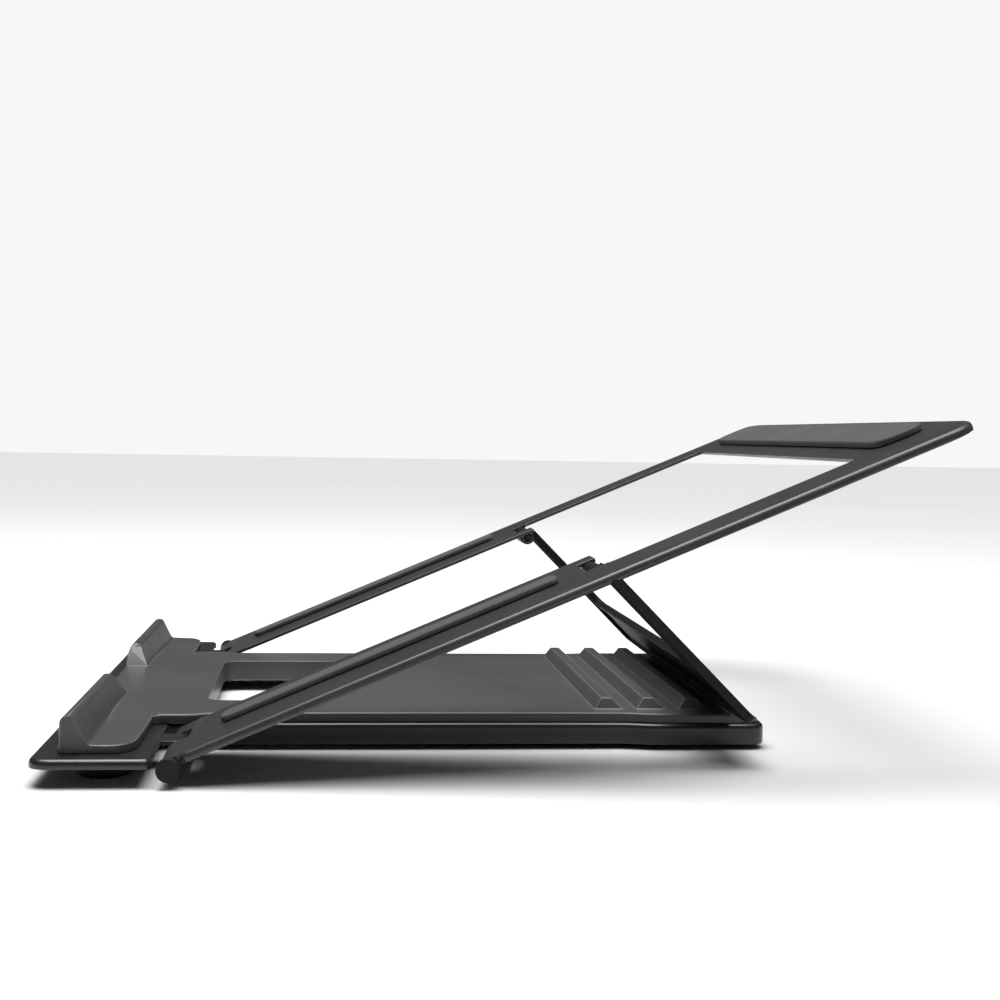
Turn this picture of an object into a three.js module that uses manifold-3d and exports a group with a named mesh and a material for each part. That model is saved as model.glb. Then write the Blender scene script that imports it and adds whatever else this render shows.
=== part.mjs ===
// A folding desk stand that holds a laptop or tablet at a slope.
// A flat base with a moulded deck carries a U-shaped frame on two front hinges.
// A swinging leg under the frame stands on the deck behind one of three ridges.
//
// Millimetres. X runs across the stand, Y from the front stops to the rear, Z up.
// Pieces are drawn from the front hinge axis, and the last lines move the whole
// stand so that its origin is the middle of the footprint at table height.

import * as THREE from 'three';
import { mergeVertices } from 'three/addons/utils/BufferGeometryUtils.js';
import Module from 'manifold-3d';

const wasm = await Module();
wasm.setup();

// ---- driving dimensions ----------------------------------------------------

const SHEET = 1.2;                 // steel sheet of plate, frame and leg
const HALF_WIDTH = 120;            // plate and frame, centre to side
const REST_GAP = 0.3;              // between pieces that touch inside a turned group
const SEAT_GAP = 0.05;             // under pieces that lie on the level plate

const TILT = THREE.MathUtils.degToRad(23.1);        // frame above the table
const LEG_LEAN = THREE.MathUtils.degToRad(45.2);    // leg below the horizontal

const AXIS_Z = 5.14;               // front hinge axis above the table
const PLATE_TOP = 7.89;
const PLATE_RIM = 2.7;             // depth of the turned-down rim
const PLATE_FRONT = -36.6;
const PLATE_BACK = -4.5;           // rear edge of the wide part, just before the axis
const TRAY_HALF = 67.2;            // narrow part, which passes between the rails
const TRAY_FLARE = 2.2;            // extra half width behind the wide rails
const TRAY_REAR = 174.2;
const TRAY_BOTTOM = 1.6;
const FLARE_START = 130.5;
const FLARE_END = 139;
const BEND = 1.5;                  // outer radius where sheet turns down
const BEND_STEPS = 3;

const DECK_TOP = 10.82;
const PAD_TOP = 10.28;             // outer ends of the wide front pad
const PAD_HALF = 112.5;
const DECK_FRONT = -30;
const OPENING = { half: 43, front: 4, rear: 44, radius: 6, skirt: 1.6, bottom: 3.8 };
const STOP = { inner: 28, draft: 8, top: 17.95 };
const DECK_EDGE = 0.9;             // rounding of the deck's outer top edge
const RIDGE = { count: 3, front: 122.5, pitch: 13.08, half: 59.9, height: 3.34 };

const KNUCKLE_OUTER = 2.7;
const KNUCKLE_BORE = 1.75;
const PIN_RADIUS = 1.35;
const FRAME_TOP = 2.7;             // frame's upper face above the hinge axis
const FRAME_RIM = 2.7;
const FRAME_FRONT = 3.4;
const FRAME_REAR = 238;
const FRONT_WINDOW_HALF = 68.1;
const REAR_WINDOW = { half: 98.3, front: 130.2, rear: 207.8 };
const SIDE_PAD = { inner: 89, outer: 98.6, front: 14.5, rear: 116, top: 1.9 };
const REAR_PAD = { half: 98, front: 215.3, rear: 231, top: 2.2 };

const PAD_EDGE = 0.8;              // rounding of the pads' upper edges

const PIVOT = { t: 127.7, h: -0.55 };   // leg pivot, along and above the frame
const BARREL_OUTER = 2.8;
const BARREL_BORE = 1.5;
const EAR_RADIUS = 2.1;
const LEG_PIN_RADIUS = 1.1;
const LEG = { outer: 96.3, inner: 78.2, crossbar: 39, tip: 61, foot: 62.2, fillet: 6 };
const LEG_TOP = 3.9;               // leg's rear face, over the pivot
const LEG_DEPTH = 2.6;             // sheet and turned edge together
const SLEEVE = { half: 56, along: 61.98, out: 2.5, radius: 1.4 };

const FOOT_RADIUS = 7.4;
const FRONT_FOOT = { x: 100, y: -19 };
const REAR_FOOT = { x: 52, y: 157 };
const DECK_SCREWS = [[-50, -20], [50, -20], [-50, 108], [50, 108]];

const ROUND = 24;                  // facets of a full circle

// ---- materials ---------------------------------------------------------------

const steel = (color) => new THREE.MeshStandardMaterial({ color, roughness: 0.5, metalness: 0.3 });
const plastic = (color) => new THREE.MeshStandardMaterial({ color, roughness: 0.6, metalness: 0 });

const BLACK_STEEL = 0x2b2b2d;
const FRAME_STEEL = 0x4a4a4c;
const DECK_GREY = 0x5b5b5c;
const PAD_GREY = 0x565658;
const RUBBER_BLACK = 0x151515;
const PIN_STEEL = 0x3a3a3c;

// ---- solids ------------------------------------------------------------------

function toSolid(geometry) {
  const bare = geometry.clone();
  bare.deleteAttribute('normal');
  bare.deleteAttribute('uv');
  const merged = mergeVertices(bare, 1e-4);
  return new wasm.Manifold(new wasm.Mesh({
    numProp: 3,
    vertProperties: merged.attributes.position.array,
    triVerts: merged.index.array,
  }));
}

function toGeometry(solid) {
  const mesh = solid.getMesh();
  const geometry = new THREE.BufferGeometry();
  geometry.setAttribute('position', new THREE.BufferAttribute(mesh.vertProperties, 3));
  geometry.setIndex(new THREE.BufferAttribute(mesh.triVerts, 1));
  return geometry;
}

function join(...solids) {
  return solids.reduce((whole, solid) => whole.add(solid));
}

function cut(solid, ...tools) {
  return tools.reduce((left, tool) => left.subtract(tool), solid);
}

// A closed outline through points [x, y, radius], each corner rounded by its radius.
function outline(points) {
  const shape = new THREE.Shape();
  const count = points.length;
  points.forEach(([x, y, radius = 0], i) => {
    const before = points[(i + count - 1) % count];
    const after = points[(i + 1) % count];
    const corner = new THREE.Vector2(x, y);
    const back = new THREE.Vector2(before[0] - x, before[1] - y);
    const ahead = new THREE.Vector2(after[0] - x, after[1] - y);
    const reach = Math.min(radius, back.length() / 2, ahead.length() / 2);
    const enter = corner.clone().addScaledVector(back.normalize(), reach);
    const leave = corner.clone().addScaledVector(ahead.normalize(), reach);
    if (i === 0) {
      shape.moveTo(enter.x, enter.y);
    } else {
      shape.lineTo(enter.x, enter.y);
    }
    if (reach > 0) {
      shape.quadraticCurveTo(x, y, leave.x, leave.y);
    }
  });
  shape.closePath();
  return shape;
}

// The right-hand half of an outline, front to rear, completed by its mirror image.
function mirrored(half) {
  const left = half.map(([x, y, radius]) => [-x, y, radius]).reverse();
  return outline([...half, ...left]);
}

function rectangle(x0, y0, x1, y1, radius = 0) {
  return outline([[x0, y0, radius], [x1, y0, radius], [x1, y1, radius], [x0, y1, radius]]);
}

// An outline in X and Y, raised from one height to another.
function raised(shape, low, high) {
  const geometry = new THREE.ExtrudeGeometry(shape, {
    depth: high - low,
    bevelEnabled: false,
    curveSegments: 5,
  });
  return toSolid(geometry.translate(0, 0, low));
}

// Corners of a counter-clockwise outline moved inwards by a distance.
function inset(points, distance) {
  const count = points.length;
  return points.map((point, i) => {
    const arriving = point.clone().sub(points[(i + count - 1) % count]).normalize();
    const leaving = points[(i + 1) % count].clone().sub(point).normalize();
    const inward = new THREE.Vector2(-arriving.y - leaving.y, arriving.x + leaving.x);
    return point.clone().addScaledVector(inward, distance / (1 + arriving.dot(leaving)));
  });
}

// An outline raised from one height to another, with its upper edge rounded.
function raisedAndRounded(shape, low, high, radius) {
  const points = shape.getPoints(5).filter((point, i, all) => {
    const next = all[(i + 1) % all.length];
    return point.distanceTo(next) > 1e-3;
  });
  if (THREE.ShapeUtils.isClockWise(points)) {
    points.reverse();
  }
  const levels = [[0, low]];
  for (let step = 0; step <= BEND_STEPS; step += 1) {
    const angle = (Math.PI / 2) * (step / BEND_STEPS);
    levels.push([radius * (1 - Math.cos(angle)), high - radius * (1 - Math.sin(angle))]);
  }
  const count = points.length;
  const vertices = levels.flatMap(([distance, z]) => inset(points, distance).flatMap(({ x, y }) => [x, y, z]));
  const faces = [];
  for (let level = 0; level + 1 < levels.length; level += 1) {
    for (let i = 0; i < count; i += 1) {
      const here = level * count + i;
      const beside = level * count + ((i + 1) % count);
      faces.push(here, beside, beside + count, here, beside + count, here + count);
    }
  }
  const crown = (levels.length - 1) * count;
  for (const [a, b, c] of THREE.ShapeUtils.triangulateShape(points, [])) {
    faces.push(a, c, b, crown + a, crown + b, crown + c);
  }
  return new wasm.Manifold(new wasm.Mesh({
    numProp: 3,
    vertProperties: new Float32Array(vertices),
    triVerts: new Uint32Array(faces),
  }));
}

// A profile in Y and Z, drawn out along X.
function drawnAcross(profile, x0, x1) {
  const geometry = new THREE.ExtrudeGeometry(profile, {
    depth: x1 - x0,
    bevelEnabled: false,
    curveSegments: 5,
  });
  geometry.applyMatrix4(new THREE.Matrix4().makeBasis(
    new THREE.Vector3(0, 1, 0),
    new THREE.Vector3(0, 0, 1),
    new THREE.Vector3(1, 0, 0),
  ));
  return toSolid(geometry.translate(x0, 0, 0));
}

function block(x0, x1, y0, y1, z0, z1) {
  const geometry = new THREE.BoxGeometry(x1 - x0, y1 - y0, z1 - z0);
  return toSolid(geometry.translate((x0 + x1) / 2, (y0 + y1) / 2, (z0 + z1) / 2));
}

function rodAlongX(radius, x0, x1, y = 0, z = 0) {
  const geometry = new THREE.CylinderGeometry(radius, radius, x1 - x0, ROUND);
  return toSolid(geometry.rotateZ(Math.PI / 2).translate((x0 + x1) / 2, y, z));
}

function turned(profile) {
  const points = profile.map(([radius, height]) => new THREE.Vector2(radius, height));
  return toSolid(new THREE.LatheGeometry(points, ROUND).rotateX(Math.PI / 2));
}

// The same solid on the right-hand and the left-hand side.
function bothSides(make) {
  return join(make(1), make(-1));
}

function span(side, inner, outer) {
  return side > 0 ? [inner, outer] : [-outer, -inner];
}

function part(name, solid, material) {
  const mesh = new THREE.Mesh(toGeometry(solid), material);
  mesh.name = name;
  return mesh;
}

// ---- base plate ----------------------------------------------------------------

const KNUCKLE_BASE = [83, 94.4];       // plate's knuckle, between the frame's two
const KNUCKLE_INNER = [70, 82.6];      // frame's knuckle next to the tray
const KNUCKLE_NOTCH = [94.8, 118.8];   // frame's knuckle in the corner notch

function trayOutline(within) {
  const half = TRAY_HALF - within;
  return mirrored([
    [half, -14 + within, 3],
    [half, FLARE_START, 0.8],
    [half + TRAY_FLARE, FLARE_END, 0.8],
    [half + TRAY_FLARE, TRAY_REAR - within, 6.5],
  ]);
}

function openingOutline(grow) {
  return rectangle(
    -OPENING.half - grow,
    OPENING.front - grow,
    OPENING.half + grow,
    OPENING.rear + grow,
    OPENING.radius,
  );
}

function widePlate() {
  const skin = raisedAndRounded(
    mirrored([[HALF_WIDTH, PLATE_FRONT, 6], [HALF_WIDTH, PLATE_BACK, 2.5]]),
    PLATE_TOP - PLATE_RIM,
    PLATE_TOP,
    BEND,
  );
  const inside = raised(
    mirrored([[HALF_WIDTH - SHEET, PLATE_FRONT + SHEET, 5], [HALF_WIDTH - SHEET, 5, 1]]),
    0,
    PLATE_TOP - SHEET,
  );
  return cut(skin, inside);
}

function plateKnuckle(side) {
  const [x0, x1] = span(side, ...KNUCKLE_BASE);
  const leaf = block(x0, x1, PLATE_BACK - 1, 0, PLATE_TOP - SHEET, PLATE_TOP);
  const roll = rodAlongX(PLATE_TOP - AXIS_Z, x0, x1, 0, AXIS_Z);
  return join(leaf, roll);
}

function plateSlot(side) {
  const [x0, x1] = span(side, KNUCKLE_INNER[0] - 0.9, KNUCKLE_INNER[1] + 0.2);
  return block(x0, x1, PLATE_BACK - 0.6, 5, 0, PLATE_TOP + 1);
}

function basePlate() {
  const tray = raisedAndRounded(trayOutline(0), TRAY_BOTTOM, PLATE_TOP, BEND);
  const hollow = raised(trayOutline(SHEET), 0, PLATE_TOP - SHEET);
  const holes = DECK_SCREWS.map(([x, y]) => turned([[0, 0], [1.7, 0], [1.7, 20], [0, 20]])
    .translate([x, y, 0]));
  return cut(
    join(cut(widePlate(), bothSides(plateSlot)), tray, bothSides(plateKnuckle)),
    hollow,
    rodAlongX(KNUCKLE_BORE, KNUCKLE_BASE[0] - 1, KNUCKLE_BASE[1] + 1, 0, AXIS_Z),
    rodAlongX(KNUCKLE_BORE, -KNUCKLE_BASE[1] - 1, -KNUCKLE_BASE[0] + 1, 0, AXIS_Z),
    raised(openingOutline(OPENING.skirt + REST_GAP), 0, PLATE_TOP + 1),
    ...holes,
  );
}

// ---- deck ------------------------------------------------------------------------

function deckOutline() {
  const half = TRAY_HALF - 1.6;
  return mirrored([
    [PAD_HALF, DECK_FRONT, 3],
    [PAD_HALF, -12.8, 5],
    [105.5, -9.9, 3],
    [68.4, -9.4, 3],
    [68.4, 0.5, 2],
    [half, 7, 2],
    [half, FLARE_START, 2],
    [half + TRAY_FLARE, FLARE_END, 4],
    [half + TRAY_FLARE, TRAY_REAR - 1.6, 5.5],
  ]);
}

// The wide pad falls a little towards its two ends.
function padFall(side) {
  const profile = [[58, DECK_TOP + 1], [58, DECK_TOP], [82, PAD_TOP], [130, PAD_TOP], [130, DECK_TOP + 1]];
  const shape = new THREE.Shape(profile.map(([x, z]) => new THREE.Vector2(side * x, z)));
  const geometry = new THREE.ExtrudeGeometry(shape, { depth: 40, bevelEnabled: false });
  return toSolid(geometry.rotateX(Math.PI / 2).translate(0, -8, 0));
}

function rearSlope() {
  const flatEnd = 165.5;
  return drawnAcross(
    outline([[flatEnd, DECK_TOP], [TRAY_REAR, 8.4], [TRAY_REAR + 5, 8.4], [TRAY_REAR + 5, 16], [flatEnd, 16]]),
    -HALF_WIDTH,
    HALF_WIDTH,
  );
}

// Moves a block's top corners so that its faces slope.
function sloped(geometry, move) {
  const position = geometry.attributes.position;
  for (let i = 0; i < position.count; i += 1) {
    const [x, y, z] = move(position.getX(i), position.getY(i), position.getZ(i));
    position.setXYZ(i, x, y, z);
  }
  return toSolid(geometry);
}

function ridge(index) {
  const front = RIDGE.front + index * RIDGE.pitch;
  const base = DECK_TOP - 0.5;
  const box = new THREE.BoxGeometry(2, 2, 2);
  return sloped(box, (x, y, z) => {
    const top = z > 0;
    const end = top ? RIDGE.half - 1.6 : RIDGE.half;
    const near = top ? front + 2.3 : front - 0.35;
    const far = top ? front + 5.4 : front + 9.7;
    return [x * end, y < 0 ? near : far, top ? DECK_TOP + RIDGE.height : base];
  });
}

// One of the two stops that keep the device from sliding off the front.
function stop(side) {
  const root = PAD_TOP - 0.5;
  const profile = outline([
    [DECK_FRONT, PLATE_TOP + SEAT_GAP],
    [-21, PLATE_TOP + SEAT_GAP],
    [-21, PAD_TOP - 0.2],
    [-22.2, PAD_TOP + 0.55, 1],
    [-25.5, STOP.top - 0.5, 1],
    [-26.4, STOP.top, 0.8],
    [-28.4, STOP.top, 1.4],
    [DECK_FRONT + 0.7, STOP.top - 1.7, 1.4],
  ]);
  const geometry = new THREE.ExtrudeGeometry(profile, {
    depth: PAD_HALF + 2 - STOP.inner,
    bevelEnabled: false,
    curveSegments: 4,
  });
  const position = geometry.attributes.position;
  for (let i = 0; i < position.count; i += 1) {
    const y = position.getX(i);
    const z = position.getY(i);
    const outerEnd = position.getZ(i) > 1;
    const lean = STOP.draft * Math.max(0, z - root) / (STOP.top - root);
    position.setXYZ(i, outerEnd ? PAD_HALF + 2 : STOP.inner + lean, y, z);
  }
  const solid = toSolid(geometry).intersect(raised(deckOutline(), 0, STOP.top + 1));
  return side > 0 ? solid : solid.mirror([1, 0, 0]);
}

function deck() {
  const ridges = Array.from({ length: RIDGE.count }, (_, i) => ridge(i));
  const bed = raisedAndRounded(deckOutline(), PLATE_TOP + SEAT_GAP, DECK_TOP, DECK_EDGE);
  const skirt = raised(openingOutline(OPENING.skirt), OPENING.bottom, DECK_TOP);
  const holes = DECK_SCREWS.map(([x, y]) => turned([[0, 0], [1.6, 0], [1.6, 9.9], [0, 9.9]])
    .translate([x, y, 0]));
  return cut(
    join(cut(bed, padFall(1), padFall(-1), rearSlope()), stop(1), stop(-1), skirt, ...ridges),
    raised(openingOutline(0), 0, DECK_TOP + 1),
    ...holes,
  );
}

function deckScrew() {
  const underSheet = PLATE_TOP - SHEET - SEAT_GAP;
  return turned([
    [0, underSheet - 1.6],
    [1.8, underSheet - 1.6],
    [2.7, underSheet - 1.0],
    [2.7, underSheet],
    [1.25, underSheet],
    [1.25, 9.6],
    [0, 9.6],
  ]);
}

function foot() {
  const top = PLATE_TOP - SHEET - SEAT_GAP;
  return turned([
    [0, 0],
    [FOOT_RADIUS - 1.1, 0],
    [FOOT_RADIUS - 0.2, 0.7],
    [FOOT_RADIUS, 1.6],
    [FOOT_RADIUS - 0.4, 2.6],
    [FOOT_RADIUS - 1.4, 3.4],
    [FOOT_RADIUS - 1.4, top],
    [0, top],
  ]);
}

// ---- frame -----------------------------------------------------------------------

function frameOutline() {
  return mirrored([
    [FRONT_WINDOW_HALF + 2.3, FRAME_FRONT],
    [HALF_WIDTH, FRAME_FRONT, 3],
    [HALF_WIDTH, FRAME_REAR, 11],
  ]);
}

function frameLeaf(side, [inner, outer]) {
  const [x0, x1] = span(side, inner, outer);
  const leaf = block(x0, x1, 0, FRAME_FRONT + 2, FRAME_TOP - SHEET, FRAME_TOP);
  return join(leaf, rodAlongX(KNUCKLE_OUTER, x0, x1));
}

// Turned-down ears beside the leg's barrel, which the leg's pin passes through.
function ears(side) {
  return join(...[[BARREL_SLOT[0] - SHEET, BARREL_SLOT[0]], [BARREL_SLOT[1], BARREL_SLOT[1] + SHEET]]
    .map(([inner, outer]) => {
      const [x0, x1] = span(side, inner, outer);
      return join(
        block(x0, x1, PIVOT.t - EAR_RADIUS, PIVOT.t + EAR_RADIUS, PIVOT.h, FRAME_TOP),
        rodAlongX(EAR_RADIUS, x0, x1, PIVOT.t, PIVOT.h),
      );
    }));
}

const BARREL_SLOT = [LEG.inner - 0.8, LEG.outer + 0.8];

function barrelSlot(side) {
  const [x0, x1] = span(side, ...BARREL_SLOT);
  return block(x0, x1, PIVOT.t - BARREL_OUTER - 0.5, REAR_WINDOW.front + 2, -10, 10);
}

function frame() {
  const low = FRAME_TOP - SHEET;
  const sheet = cut(
    raisedAndRounded(frameOutline(), FRAME_TOP - FRAME_RIM, FRAME_TOP, BEND),
    raised(
      mirrored([[HALF_WIDTH - SHEET, -20], [HALF_WIDTH - SHEET, FRAME_REAR - SHEET, 10]]),
      -10,
      low,
    ),
  );
  const frontWindow = raised(
    mirrored([
      [FRONT_WINDOW_HALF + 2.3, -20],
      [FRONT_WINDOW_HALF + 2.3, FRAME_FRONT + 1],
      [FRONT_WINDOW_HALF, 12, 4],
      [FRONT_WINDOW_HALF, REAR_WINDOW.front, 4],
      [FRONT_WINDOW_HALF + 0.01, REAR_WINDOW.front + 10],
    ]),
    -10,
    10,
  );
  const rearWindow = raised(
    rectangle(-REAR_WINDOW.half, REAR_WINDOW.front, REAR_WINDOW.half, REAR_WINDOW.rear, 3),
    -10,
    10,
  );
  const leaves = [1, -1].flatMap((side) => [KNUCKLE_INNER, KNUCKLE_NOTCH].map((at) => frameLeaf(side, at)));
  return cut(
    join(
      cut(sheet, frontWindow, rearWindow, bothSides(barrelSlot)),
      ...leaves,
      bothSides(ears),
    ),
    rodAlongX(KNUCKLE_BORE, -HALF_WIDTH, HALF_WIDTH),
    rodAlongX(BARREL_BORE, -HALF_WIDTH, HALF_WIDTH, PIVOT.t, PIVOT.h),
  );
}

function sidePad(side) {
  const [x0, x1] = span(side, SIDE_PAD.inner, SIDE_PAD.outer);
  return raisedAndRounded(
    rectangle(x0, SIDE_PAD.front, x1, SIDE_PAD.rear, 3),
    FRAME_TOP + REST_GAP,
    FRAME_TOP + SIDE_PAD.top,
    PAD_EDGE,
  );
}

function rearPad() {
  return raisedAndRounded(
    rectangle(-REAR_PAD.half, REAR_PAD.front, REAR_PAD.half, REAR_PAD.rear, 7),
    FRAME_TOP + REST_GAP,
    FRAME_TOP + REAR_PAD.top,
    PAD_EDGE,
  );
}

// ---- leg -------------------------------------------------------------------------

function legOutline(within) {
  const { outer, inner, crossbar, tip, foot: end, fillet } = LEG;
  const sleeveEdge = SLEEVE.half + 1.6;
  return mirrored([
    [sleeveEdge - within, end - within],
    [sleeveEdge + 8 - within, end - within, 3],
    [outer - within, tip - within, 2],
    [outer - within, within > 0 ? 3.5 : 0],
    [inner + within, within > 0 ? 3.5 : 0],
    [inner + within, crossbar + within, fillet],
  ].reverse());
}

function leg() {
  const plate = raised(legOutline(0), LEG_TOP - LEG_DEPTH, LEG_TOP);
  const channel = raised(legOutline(SHEET), -10, LEG_TOP - SHEET);
  const barrel = (side) => rodAlongX(BARREL_OUTER, ...span(side, LEG.inner, LEG.outer));
  const sleeveRelief = block(
    -SLEEVE.half - REST_GAP,
    SLEEVE.half + REST_GAP,
    SLEEVE.along - SLEEVE.radius - REST_GAP,
    70,
    -10,
    10,
  );
  return cut(
    join(cut(plate, channel), bothSides(barrel)),
    rodAlongX(BARREL_BORE, -HALF_WIDTH, HALF_WIDTH),
    sleeveRelief,
  );
}

function footSleeve() {
  return rodAlongX(SLEEVE.radius, -SLEEVE.half, SLEEVE.half, SLEEVE.along, SLEEVE.out);
}

// ---- pins and caps ---------------------------------------------------------------

function hingePin(side) {
  return rodAlongX(PIN_RADIUS, ...span(side, KNUCKLE_INNER[0] - 0.7, KNUCKLE_NOTCH[1] + 0.1), 0, AXIS_Z);
}

function hingeCap(side) {
  const [x0, x1] = span(side, KNUCKLE_NOTCH[1] + 0.4, KNUCKLE_NOTCH[1] + 2.8);
  return rodAlongX(3.2, x0, x1, 0, AXIS_Z);
}

function legPin(side) {
  const [x0, x1] = span(side, BARREL_SLOT[0] - SHEET - 0.8, BARREL_SLOT[1] + SHEET + 0.8);
  return rodAlongX(LEG_PIN_RADIUS, x0, x1);
}

// ---- the whole stand -------------------------------------------------------------

const SIDES = [['right', 1], ['left', -1]];

const base = new THREE.Group();
base.add(part('base_plate', basePlate(), steel(BLACK_STEEL)));
base.add(part('deck_cover', deck(), plastic(DECK_GREY)));
DECK_SCREWS.forEach(([x, y], i) => {
  const screw = part(`deck_screw_${i + 1}`, deckScrew(), steel(PIN_STEEL));
  screw.position.set(x, y, 0);
  base.add(screw);
});

const tilting = new THREE.Group();
tilting.position.z = AXIS_Z;
tilting.rotation.x = TILT;
tilting.add(part('tilt_frame', frame(), steel(FRAME_STEEL)));
tilting.add(part('rear_pad', rearPad(), plastic(PAD_GREY)));

const swinging = new THREE.Group();
swinging.position.set(0, PIVOT.t, PIVOT.h);
swinging.rotation.x = -(LEG_LEAN + TILT);
swinging.add(part('prop_leg', leg(), steel(BLACK_STEEL)));
swinging.add(part('foot_sleeve', footSleeve(), plastic(RUBBER_BLACK)));
tilting.add(swinging);

SIDES.forEach(([word, side]) => {
  [['front', FRONT_FOOT], ['rear', REAR_FOOT]].forEach(([end, at]) => {
    const pad = part(`${end}_foot_${word}`, foot(), plastic(RUBBER_BLACK));
    pad.position.set(side * at.x, at.y, 0);
    base.add(pad);
  });
  base.add(part(`hinge_pin_${word}`, hingePin(side), steel(PIN_STEEL)));
  base.add(part(`hinge_cap_${word}`, hingeCap(side), plastic(RUBBER_BLACK)));
  tilting.add(part(`side_pad_${word}`, sidePad(side), plastic(PAD_GREY)));
  swinging.add(part(`prop_pin_${word}`, legPin(side), steel(PIN_STEEL)));
});

const stand = new THREE.Group();
stand.add(base, tilting);
stand.updateMatrixWorld(true);
const box = new THREE.Box3().setFromObject(stand, true);
stand.position.set(-(box.min.x + box.max.x) / 2, -(box.min.y + box.max.y) / 2, -box.min.z);

export default stand;
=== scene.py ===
"""Looks of a folding desk stand for a laptop or tablet.

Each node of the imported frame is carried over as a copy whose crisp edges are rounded, rides on
the node's own body, and gets a procedural material. Metres throughout.
"""

import math

import bmesh
import bpy
from mathutils import Matrix, Vector


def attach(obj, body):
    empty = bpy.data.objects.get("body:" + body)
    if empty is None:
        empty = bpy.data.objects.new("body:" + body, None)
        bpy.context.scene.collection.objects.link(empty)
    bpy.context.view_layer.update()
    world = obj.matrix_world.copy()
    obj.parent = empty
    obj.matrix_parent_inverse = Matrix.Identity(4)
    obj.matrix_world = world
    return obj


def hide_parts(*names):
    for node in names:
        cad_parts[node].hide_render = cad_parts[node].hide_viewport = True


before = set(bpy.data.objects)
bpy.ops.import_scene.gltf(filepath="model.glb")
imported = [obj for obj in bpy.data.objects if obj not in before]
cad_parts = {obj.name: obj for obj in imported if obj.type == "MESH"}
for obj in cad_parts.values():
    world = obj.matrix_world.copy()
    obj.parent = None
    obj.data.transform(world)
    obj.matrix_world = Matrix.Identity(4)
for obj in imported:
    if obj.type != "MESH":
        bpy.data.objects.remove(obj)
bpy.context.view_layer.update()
MM = 0.001

FLAT_ANGLE = math.radians(0.2)      # faces this close to level with each other become one
CRISP_ANGLE = math.radians(35)      # edges sharper than this are rounded
MERGE_DISTANCE = 2e-6               # vertices closer than this are one
SHORTEST_ROUNDED = 1.2              # in widths of the rounding: shorter edges stay crisp
FULL_WIDTH_FROM = 3                 # in widths: shorter edges get a narrower rounding
SLIVER_AREA = 0.3                   # in widths squared: smaller faces are shaded flat

FLOOR_HALF = 6.0
FILL_STRENGTH = 0.07                # how strongly the surroundings light the object
BACKDROP_WHITE = 0.93               # how white the surroundings look
OVERHEAD = {"place": (-0.15, -0.25, 1.0), "target": (0, 0, 0.03), "size": (0.9, 0.5), "power": 7}
SKY_STRENGTH = 3.0
SKY_SPREAD = math.radians(50)
SKY_TILT = (math.radians(-8), math.radians(4), 0)

CAMERA_PLACE = (0.54168, -0.049149, 0.09359)
CAMERA_FORWARD = (-0.99384679, 0.10361153, -0.03915628)
CAMERA_ROLL = 0.01776
CAMERA_LENS = 57.6                  # millimetres, on the 36 mm sensor
SENSOR_WIDTH = 36.0


# ---- materials ----------------------------------------------------------------

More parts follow.
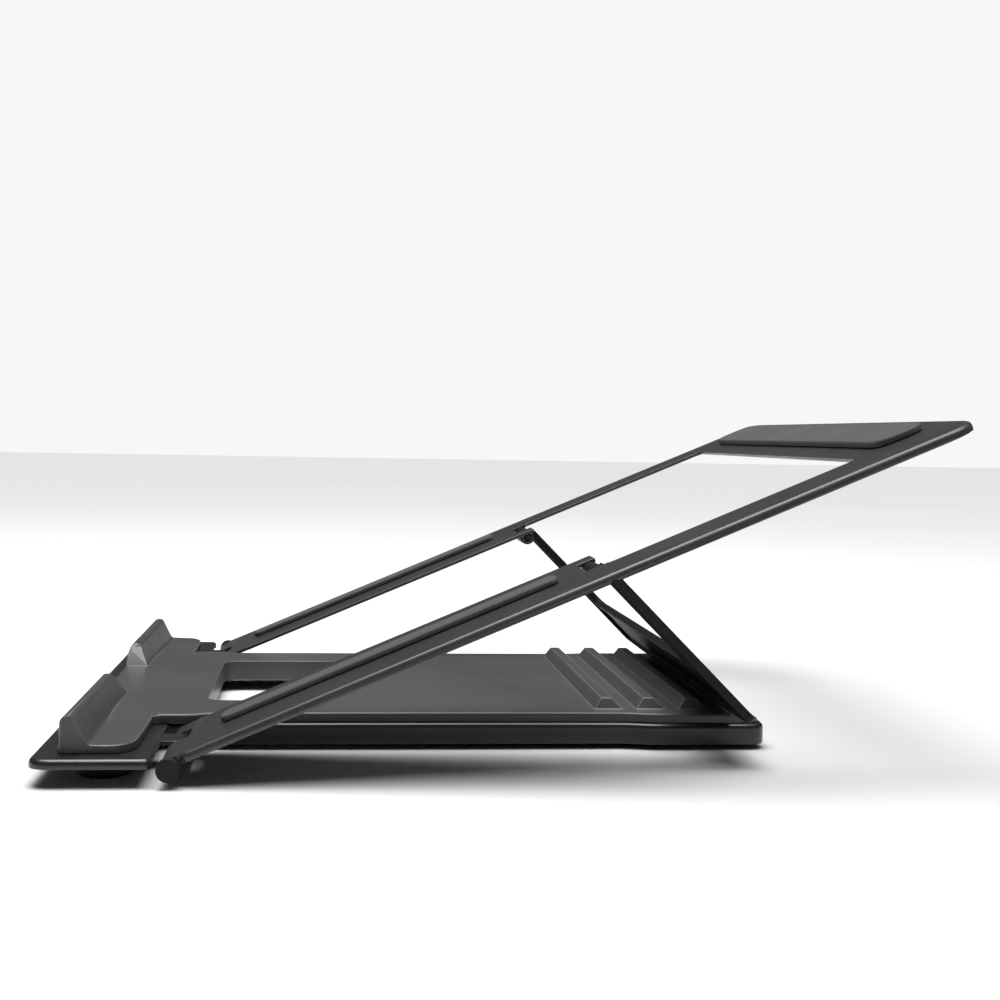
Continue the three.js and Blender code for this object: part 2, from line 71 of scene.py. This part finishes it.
class Surface:
    """A principled material whose colour, roughness and relief come from procedural nodes."""

    def __init__(self, name, roughness, metallic=0.0, specular=0.5, coat=0.0):
        self.material = bpy.data.materials.new(name)
        self.material.use_nodes = True
        self.tree = self.material.node_tree
        self.shader = self.tree.nodes["Principled BSDF"]
        self.shader.inputs["Roughness"].default_value = roughness
        self.shader.inputs["Metallic"].default_value = metallic
        self.shader.inputs["Specular IOR Level"].default_value = specular
        self.shader.inputs["Coat Weight"].default_value = coat
        self.shader.inputs["Coat Roughness"].default_value = 0.22
        self.place = self.tree.nodes.new("ShaderNodeTexCoord").outputs["Object"]
        self.normal = None

    def node(self, kind, **settings):
        """A new node; each setting is one of its properties or the constant on a socket."""
        made = self.tree.nodes.new(kind)
        for key, value in settings.items():
            if hasattr(made, key):
                setattr(made, key, value)
            else:
                made.inputs[key.replace("_", " ")].default_value = value
        return made

    def link(self, output, target):
        self.tree.links.new(output, target)

    def noise(self, size, detail=2.0, stretch=(1, 1, 1)):
        """Noise with features of that size in metres."""
        mapping = self.node("ShaderNodeMapping")
        mapping.inputs["Scale"].default_value = stretch
        self.link(self.place, mapping.inputs["Vector"])
        noise = self.node("ShaderNodeTexNoise", Scale=1.0 / size, Detail=detail)
        self.link(mapping.outputs["Vector"], noise.inputs["Vector"])
        return noise.outputs["Fac"]

    def ramp(self, source, low, high, start=0.35, end=0.65):
        """A colour that goes from low to high as the source goes from start to end."""
        ramp = self.node("ShaderNodeValToRGB")
        ramp.color_ramp.elements[0].position = start
        ramp.color_ramp.elements[1].position = end
        ramp.color_ramp.elements[0].color = (*low, 1)
        ramp.color_ramp.elements[1].color = (*high, 1)
        self.link(source, ramp.inputs["Fac"])
        return ramp.outputs["Color"]

    def colour(self, base, cloud=0.06, cloud_size=0.03, speck=0.0, speck_size=0.0006):
        """Base colour with slow clouding and, where asked for, fine specks."""
        tint = self.ramp(
            self.noise(cloud_size, 3.0),
            [c * (1 - cloud) for c in base],
            [c * (1 + cloud) for c in base],
        )
        if speck:
            darkest, lightest = [1 - speck] * 3, [1 + speck] * 3
            grain = self.ramp(self.noise(speck_size, 1.0), darkest, lightest, 0.3, 0.7)
            mix = self.node("ShaderNodeMix", data_type="RGBA", blend_type="MULTIPLY")
            mix.inputs["Factor"].default_value = 1.0
            self.link(tint, mix.inputs["A"])
            self.link(grain, mix.inputs["B"])
            tint = mix.outputs["Result"]
        self.link(tint, self.shader.inputs["Base Color"])

    def rough(self, low, high, size):
        """Roughness that wanders between two values, in patches of that size."""
        ramp = self.ramp(self.noise(size, 3.0), [low] * 3, [high] * 3)
        self.link(ramp, self.shader.inputs["Roughness"])

    def relief(self, size, depth, strength=1.0, detail=2.0, stretch=(1, 1, 1)):
        """A fine unevenness on top of any that the surface already has."""
        bump = self.node("ShaderNodeBump", Strength=strength, Distance=depth)
        self.link(self.noise(size, detail, stretch), bump.inputs["Height"])
        if self.normal:
            self.link(self.normal, bump.inputs["Normal"])
        self.normal = bump.outputs["Normal"]
        self.link(self.normal, self.shader.inputs["Normal"])


def powder_coat(name, base, roughness, speck, specular=0.5, gloss=0.35):
    """Painted sheet steel, with the wavy skin of powder paint and a finer grain in it."""
    coat = Surface(name, roughness, specular=specular, coat=gloss)
    coat.colour(base, cloud=0.05, speck=speck, speck_size=0.7 * MM)
    coat.rough(roughness - 0.05, roughness + 0.06, 20 * MM)
    coat.relief(1.1 * MM, 0.06 * MM, 0.5)
    coat.relief(0.4 * MM, 0.03 * MM, 0.5)
    return coat.material


def moulded(name, base, roughness):
    """Matt moulded plastic."""
    shell = Surface(name, roughness, specular=0.45, coat=0.15)
    shell.colour(base, cloud=0.04, cloud_size=50 * MM, speck=0.05, speck_size=0.5 * MM)
    shell.rough(roughness - 0.04, roughness + 0.05, 30 * MM)
    shell.relief(0.7 * MM, 0.04 * MM, 0.4)
    return shell.material


def rubber(name, base):
    """Matt soft rubber."""
    skin = Surface(name, 0.72, specular=0.35)
    skin.colour(base, cloud=0.06, cloud_size=20 * MM, speck=0.06, speck_size=0.5 * MM)
    skin.rough(0.66, 0.8, 10 * MM)
    skin.relief(0.6 * MM, 0.05 * MM, 0.5)
    return skin.material


def turned_steel(name, base):
    """Blackened steel, with faint marks drawn out along X."""
    rod = Surface(name, 0.4, metallic=0.6)
    rod.colour(base, cloud=0.1, cloud_size=6 * MM)
    rod.rough(0.32, 0.5, 4 * MM)
    rod.relief(0.6 * MM, 0.02 * MM, 0.5, stretch=(0.1, 1, 1))
    return rod.material


BASE_COAT = powder_coat("base_coat", (0.012, 0.012, 0.0125), 0.34, 0.12)
LEG_COAT = powder_coat("leg_coat", (0.008, 0.008, 0.0084), 0.5, 0.12, specular=0.25, gloss=0.0)
FRAME_COAT = powder_coat("frame_coat", (0.03, 0.03, 0.031), 0.4, 0.2)
# The lighter, glossier edge coats here go only on the rounded edge faces: painted highlights along
# the edges.
FRAME_PAINTED_HIGHLIGHT = powder_coat("frame_painted_highlight", (0.075, 0.075, 0.077), 0.32, 0.1)
BASE_PAINTED_HIGHLIGHT = powder_coat("base_painted_highlight", (0.035, 0.035, 0.036), 0.3, 0.1)
DECK = moulded("deck_moulding", (0.062, 0.062, 0.063), 0.4)
DECK_PAINTED_HIGHLIGHT = moulded("deck_painted_highlight", (0.11, 0.11, 0.112), 0.34)
PAD = rubber("pad_rubber_skin", (0.078, 0.078, 0.08))
FOOT = rubber("foot_rubber_skin", (0.012, 0.012, 0.012))
SLEEVE = rubber("sleeve_skin", (0.06, 0.06, 0.062))
PIN = turned_steel("pin_metal", (0.04, 0.04, 0.042))
CAP = rubber("cap_moulding", (0.006, 0.006, 0.0062))


# ---- shapes ---------------------------------------------------------------------

def mark_edges(mesh, radius):
    """Merges a faceted mesh into whole flat faces and marks the edges that are to be rounded."""
    bm = bmesh.new()
    bm.from_mesh(mesh)
    bmesh.ops.remove_doubles(bm, verts=bm.verts, dist=MERGE_DISTANCE)
    bmesh.ops.dissolve_limit(bm, angle_limit=FLAT_ANGLE, verts=bm.verts, edges=bm.edges)
    bmesh.ops.connect_verts_concave(bm, faces=bm.faces)
    weight = bm.edges.layers.float.new("bevel_weight_edge")
    for edge in bm.edges:
        length = edge.calc_length() / radius
        crisp = len(edge.link_faces) == 2 and edge.calc_face_angle(0) > CRISP_ANGLE
        long_enough = length > SHORTEST_ROUNDED
        edge[weight] = min(1.0, length / FULL_WIDTH_FROM) if crisp and long_enough else 0.0
        edge.smooth = not crisp or long_enough
    for face in bm.faces:
        face.smooth = face.calc_area() >= SLIVER_AREA * radius * radius
        face.material_index = 0
    bm.to_mesh(mesh)
    bm.free()


def rounded(node, body, material, radius, edge_highlight_paint=None):
    """Replaces a CAD node by a copy with its crisp edges rounded and its bends shaded smooth; where
    an edge material is given, the rounded edge faces take it as a painted highlight.
    """
    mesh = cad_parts[node].data.copy()
    mesh.name = f"{node}_skin"
    made = bpy.data.objects.new(f"{node}_skin", mesh)
    bpy.context.scene.collection.objects.link(made)
    mesh.materials.clear()
    mesh.materials.append(material)
    mesh.materials.append(edge_highlight_paint or material)
    mark_edges(mesh, radius)

    bevel = made.modifiers.new("edges", "BEVEL")
    bevel.limit_method = "WEIGHT"
    bevel.width = radius
    bevel.segments = 2
    # the rounded edge faces take the second slot, the lighter copy of the coat: a painted highlight
    bevel.material = 1
    bevel.use_clamp_overlap = False
    bevel.miter_outer = "MITER_ARC"
    normals = made.modifiers.new("normals", "WEIGHTED_NORMAL")
    normals.weight = 100
    normals.keep_sharp = True
    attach(made, body)
    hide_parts(node)


rounded("base_plate", "base", BASE_COAT, 0.25 * MM, BASE_PAINTED_HIGHLIGHT)
rounded("deck_cover", "base", DECK, 0.3 * MM, DECK_PAINTED_HIGHLIGHT)
rounded("tilt_frame", "frame", FRAME_COAT, 0.25 * MM, FRAME_PAINTED_HIGHLIGHT)
rounded("rear_pad", "frame", PAD, 0.15 * MM)
rounded("prop_leg", "leg", LEG_COAT, 0.3 * MM)
rounded("foot_sleeve", "leg", SLEEVE, 0.3 * MM)
for side in ("right", "left"):
    rounded(f"side_pad_{side}", "frame", PAD, 0.15 * MM)
    rounded(f"hinge_cap_{side}", "hinge_pins", CAP, 0.6 * MM)
    rounded(f"hinge_pin_{side}", "hinge_pins", PIN, 0.2 * MM)
    rounded(f"prop_pin_{side}", "leg_pins", PIN, 0.3 * MM)
    for end in ("front", "rear"):
        rounded(f"{end}_foot_{side}", "base", FOOT, 0.25 * MM)
for index in range(1, 5):
    rounded(f"deck_screw_{index}", "base", PIN, 0.15 * MM)


# ---- stage ----------------------------------------------------------------------

def floor():
    """A plain pale floor."""
    bm = bmesh.new()
    bmesh.ops.create_grid(bm, x_segments=1, y_segments=1, size=FLOOR_HALF)
    mesh = bpy.data.meshes.new("floor")
    bm.to_mesh(mesh)
    bm.free()
    made = bpy.data.objects.new("floor", mesh)
    bpy.context.scene.collection.objects.link(made)
    paper = Surface("floor_paper", 0.9, specular=0.1)
    paper.colour((0.8, 0.8, 0.8), cloud=0.01, cloud_size=0.5)
    mesh.materials.append(paper.material)


def area_light(name, place, target, size, power):
    light = bpy.data.lights.new(name, "AREA")
    light.shape = "RECTANGLE"
    light.size, light.size_y = size
    light.energy = power
    made = bpy.data.objects.new(name, light)
    made.location = place
    made.rotation_euler = (Vector(target) - Vector(place)).to_track_quat("-Z", "Y").to_euler()
    bpy.context.scene.collection.objects.link(made)


def studio():
    """White surroundings that light the object only faintly, a lamp overhead and a broad sky lamp."""
    world = bpy.data.worlds.new("studio")
    world.use_nodes = True
    tree = world.node_tree
    soft = tree.nodes["Background"]
    soft.inputs["Color"].default_value = (1, 1, 1, 1)
    soft.inputs["Strength"].default_value = FILL_STRENGTH
    seen = tree.nodes.new("ShaderNodeBackground")
    seen.inputs["Color"].default_value = (BACKDROP_WHITE, BACKDROP_WHITE, BACKDROP_WHITE, 1)
    path = tree.nodes.new("ShaderNodeLightPath")
    mix = tree.nodes.new("ShaderNodeMixShader")
    tree.links.new(path.outputs["Is Camera Ray"], mix.inputs["Fac"])
    tree.links.new(soft.outputs["Background"], mix.inputs[1])
    tree.links.new(seen.outputs["Background"], mix.inputs[2])
    tree.links.new(mix.outputs["Shader"], tree.nodes["World Output"].inputs["Surface"])
    bpy.context.scene.world = world
    bpy.context.scene.view_settings.view_transform = "Standard"
    area_light("overhead", **OVERHEAD)
    lamp = bpy.data.lights.new("sky_lamp", "SUN")
    lamp.energy = SKY_STRENGTH
    lamp.angle = SKY_SPREAD
    made = bpy.data.objects.new("sky_lamp", lamp)
    made.rotation_euler = SKY_TILT
    bpy.context.scene.collection.objects.link(made)


def camera():
    """A low camera on the right, before the middle, which looks across and a little to the rear."""
    forward = Vector(CAMERA_FORWARD).normalized()
    level = forward.cross(Vector((0, 0, 1))).normalized()
    upward = level.cross(forward)
    across = level * math.cos(CAMERA_ROLL) + upward * math.sin(CAMERA_ROLL)
    up = upward * math.cos(CAMERA_ROLL) - level * math.sin(CAMERA_ROLL)
    data = bpy.data.cameras.new("camera")
    data.sensor_width = SENSOR_WIDTH
    data.lens = CAMERA_LENS
    data.clip_start = 0.01
    made = bpy.data.objects.new("camera", data)
    turn = Matrix((across, up, -forward)).transposed()
    made.matrix_world = Matrix.Translation(CAMERA_PLACE) @ turn.to_4x4()
    bpy.context.scene.collection.objects.link(made)
    bpy.context.scene.camera = made


floor()
studio()
camera()
